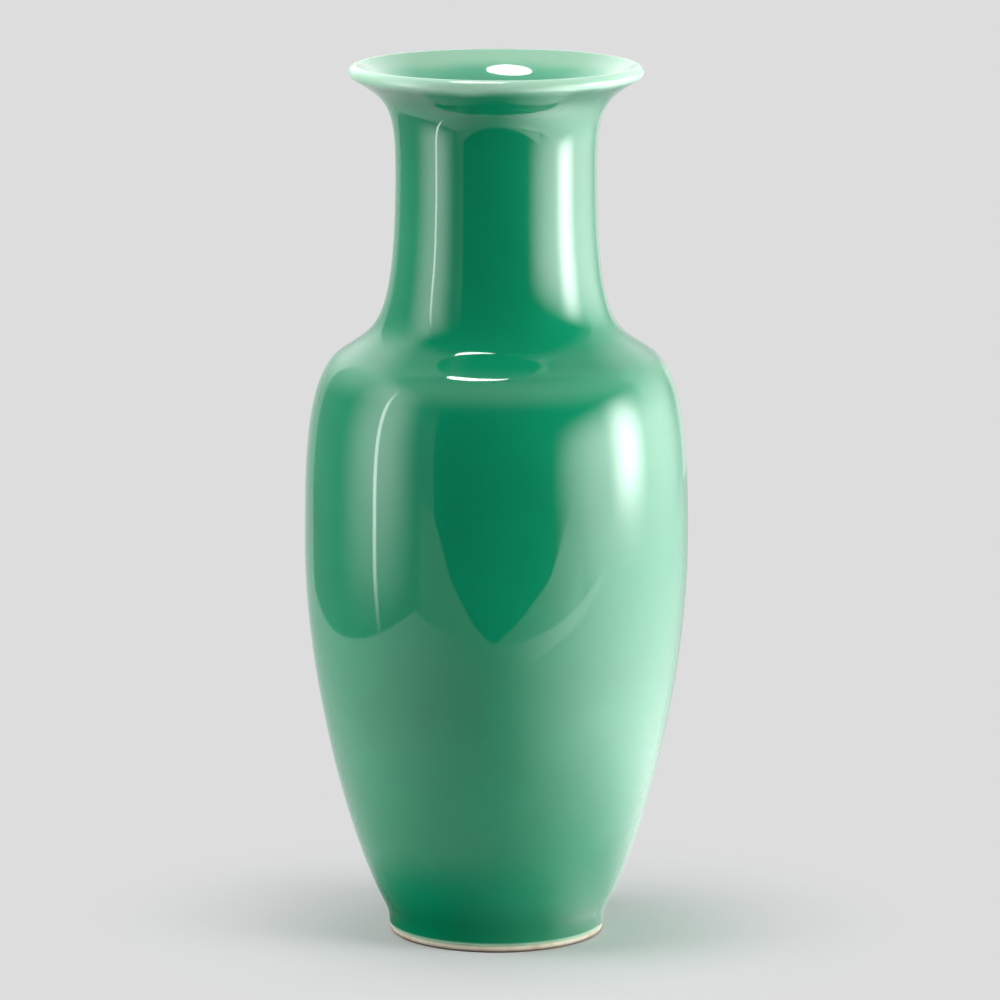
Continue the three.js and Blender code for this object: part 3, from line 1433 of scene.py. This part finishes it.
@dataclass
class Studio:
    """Pale floor and backdrop, a dark room in front, soft lights, light cards and the camera."""

    floor_front: float = 0.42
    floor_back: float = 9.0
    floor_half_width: float = 5.0
    paper: PalePaper = PalePaper()
    dark_room: float = 0.01
    backdrop_start: float = -0.05
    backdrop_full: float = 0.35
    camera_place: tuple[float, float, float] = (0.0019, -3.2777, 0.8224)
    camera_pitch: float = math.radians(10.3226)
    lens: float = 233.72
    sensor: float = 36.0
    lamp_place: tuple[float, float, float] = (-0.22, 0.09, 2.2)
    lamp_size: tuple[float, float] = (0.74, 0.68)
    lamp_power: float = 27.0
    lights: tuple[SoftLight, ...] = (
        SoftLight("overhead_light", place=(-0.15, -0.4, 2.1), size=2.0, power=19.0),
        SoftLight("right_light", place=(1.25, -0.55, 0.7), size=1.0, power=11.5),
        SoftLight("left_light", place=(-1.3, -0.2, 0.75), size=1.0, power=16.0),
        SoftLight("low_light", place=(0.95, -0.4, 0.24), size=0.4, power=6.0, aim=(0.0, 0.0, 0.06)),
    )
    cards: tuple[LightCard | FloorCard, ...] = (
        LightCard(
            "right_card", azimuth=95, distance=1.05, corners=upright(26, 152, -0.8, 1.6), level=0.05,
            glows=(
                Glow(79, 1.7, 8.2, Fade(-0.8, 0.4)),
                Glow(83, 0.34, 12, Fade(0.01, 0.24)),
                Glow(150, 1.6, 0.9),
                Glow(150, 1.6, 0.3, Fade(0.3, 0.1)),
            ),
            fades=(Fade(0.85, 0.3),),
        ),
        LightCard(
            "left_card", azimuth=-88, distance=0.55, corners=upright(-138, -36, -0.6, 0.95), level=0.35,
            glows=(Glow(-69, 0.33, 3.8, Fade(-0.02, 0.27)),), fades=(Fade(0.9, 0.4),),
        ),
        LightCard(
            "left_strip", azimuth=-67, distance=0.34, corners=upright(-68.1, -65.9, 0.08, 0.5), level=11,
            fades=(Fade(0.06, 0.24), Fade(0.52, 0.36)),
        ),
        LightCard(
            "left_back_card", azimuth=-125, distance=1.3, corners=upright(-170, -75, 0.2, 2.2), level=2,
            fades=(Fade(0.35, 0.9), Fade(2.2, 1.3)),
        ),
        LightCard(
            "right_back_card", azimuth=150, distance=1.5, corners=upright(110, 191, 0.2, 2.4), level=1.7,
            fades=(Fade(0.35, 0.9), Fade(2.2, 1.2)),
        ),
        LightCard(
            "right_rim_card", azimuth=165, distance=1.5, corners=upright(151, 178, -0.1, 0.6), level=0.72,
            glows=(Glow(151, 0.62, 0.75),), fades=(Fade(0.6, 0.3),),
        ),
        LightCard(
            "left_low_card", azimuth=0, distance=0.5, level=0.6,
            corners=(
                (-44, -0.6), (0, -0.6), (0, 0.006), (-5, 0.014), (-11, 0.032), (-15, 0.048),
                (-21, 0.08), (-27, 0.118), (-32, 0.152), (-36, 0.18), (-44, 0.19),
            ),
        ),
        LightCard(
            "right_low_card", azimuth=0, distance=0.5, level=0.7, glows=(Glow(54, 0.62, 3.5),),
            corners=(
                (0, -0.6), (50, -0.6), (50, 0.19), (43, 0.172), (38, 0.15), (31, 0.11),
                (24, 0.08), (17, 0.055), (9, 0.03), (4, 0.016), (0, 0.006),
            ),
        ),
        FloorCard(
            "right_floor_card", azimuth=82, half_angle=84, level=6, start=0, full=0.34, reach=3, front=0.5
        ),
        FloorCard(
            "left_floor_card", azimuth=-80, half_angle=75, level=1.5, start=0.04, full=0.3,
            reach=1.2, front=0.5, lift=1.0 * MM,
        ),
        FloorCard(
            "foot_light_card", azimuth=61, half_angle=36, level=2, start=0.15, full=0.1,
            reach=0.3, front=0.3, lift=2.0 * MM,
        ),
        FloorCard(
            "foot_shade_card", azimuth=-45, half_angle=125, level=0, start=0.13, full=0.08,
            reach=0.3, front=0.3, lift=1.5 * MM,
        ),
    )

    def build(self) -> None:
        """Sets the floor, the lights, the surround and the camera."""
        self._lay_floor()
        for card in self.cards:
            card.build()
        for light in self.lights:
            light.hang()
        self._hang_lamp()
        self._surround()
        self._place_camera()

    def _lay_floor(self) -> None:
        """Lays the pale floor, which ends in front like a table."""
        middle = (0.0, (self.floor_back - self.floor_front) / 2, 0.0)
        floor = added(bpy.ops.mesh.primitive_plane_add, "pale_floor", size=1.0, location=middle)
        floor.scale = (2 * self.floor_half_width, self.floor_back + self.floor_front, 1.0)
        bpy.ops.object.transform_apply(location=True, rotation=True, scale=True)
        floor.data.materials.append(material_of(self.paper))

    def _hang_lamp(self) -> None:
        """Hangs the round lamp that shows as crescents on the shoulder and inside the mouth."""
        lamp = added(bpy.ops.object.light_add, "crescent_lamp", type="AREA", location=self.lamp_place)
        lamp.data.shape = "ELLIPSE"
        lamp.data.size, lamp.data.size_y = self.lamp_size
        lamp.data.energy = self.lamp_power
        lamp.visible_diffuse = False

    def _surround(self) -> None:
        """Puts a pale backdrop behind the vase and a dark room in front of it."""
        scene = bpy.context.scene
        scene.world = scene.world or bpy.data.worlds.new("room")
        scene.world.use_nodes = True
        tree = scene.world.node_tree
        tree.nodes.clear()
        direction = add_node(tree, "TexCoord")["Generated"]
        backward = add_node(tree, "SeparateXYZ", {"Vector": direction})["Y"]
        behind = add_node(
            tree,
            "MapRange",
            {"Value": backward, "From Min": self.backdrop_start, "From Max": self.backdrop_full},
            interpolation_type="SMOOTHSTEP",
        )
        seen = add_node(tree, "LightPath")["Is Camera Ray"]
        share = add_node(
            tree, "Math", {"Value": behind["Result"], "Value_001": seen}, operation="MAXIMUM"
        )
        room = add_node(
            tree,
            "Mix",
            {
                "Factor_Float": share["Value"],
                "A_Color": (self.dark_room, self.dark_room, self.dark_room, 1.0),
                "B_Color": linear(self.paper.even),
            },
            data_type="RGBA",
        )
        light = add_node(tree, "Background", {"Color": room["Result_Color"]})
        add_node(tree, "OutputWorld", {"Surface": light["Background"]})
        scene.view_settings.view_transform = "Standard"

    def _place_camera(self) -> None:
        """Places the camera at the height and distance of the photograph."""
        bpy.ops.object.camera_add(
            location=self.camera_place, rotation=(math.pi / 2 - self.camera_pitch, 0.0, 0.0)
        )
        camera = bpy.context.object
        camera.data.lens = self.lens
        camera.data.sensor_width = self.sensor
        bpy.context.scene.camera = camera


def main() -> None:
    """Builds the vase piece by piece, then the studio around it."""
    logging.basicConfig(level=logging.INFO, format="%(name)s: %(message)s")
    outline = VaseOutline()
    wheel = Wheel()
    outside = CeladonGlaze("celadon_glaze", body="#0F8F65", gathered="#047A52", thin="#B0DEC3")
    # The inner glaze's colours are painted paler than the outer glaze's: painted light inside the mouth.
    inside = CeladonGlaze("celadon_glaze_inside_painted_light", body="#72C29D", gathered="#5CB58E", thin="#9CD0B2")
    clay = FiredClay("fired_porcelain", white="#ECE8DE", shade="#DFDACD")
    slip = FiredClay("fired_slip", white="#DDD5C6", shade="#CDC4B3")
    pieces = [
        *Foot(outline, wheel).dress(slip, outside),
        *ThrownBody(outline, wheel).dress(clay, slip),
        *GlazeCoats(outline, wheel).dress(outside, inside),
    ]
    for piece in pieces:
        LOG.info("%s is turned, with %d faces", piece.name, len(piece.data.polygons))
    Studio().build()


if __name__ == "__main__":
    main()
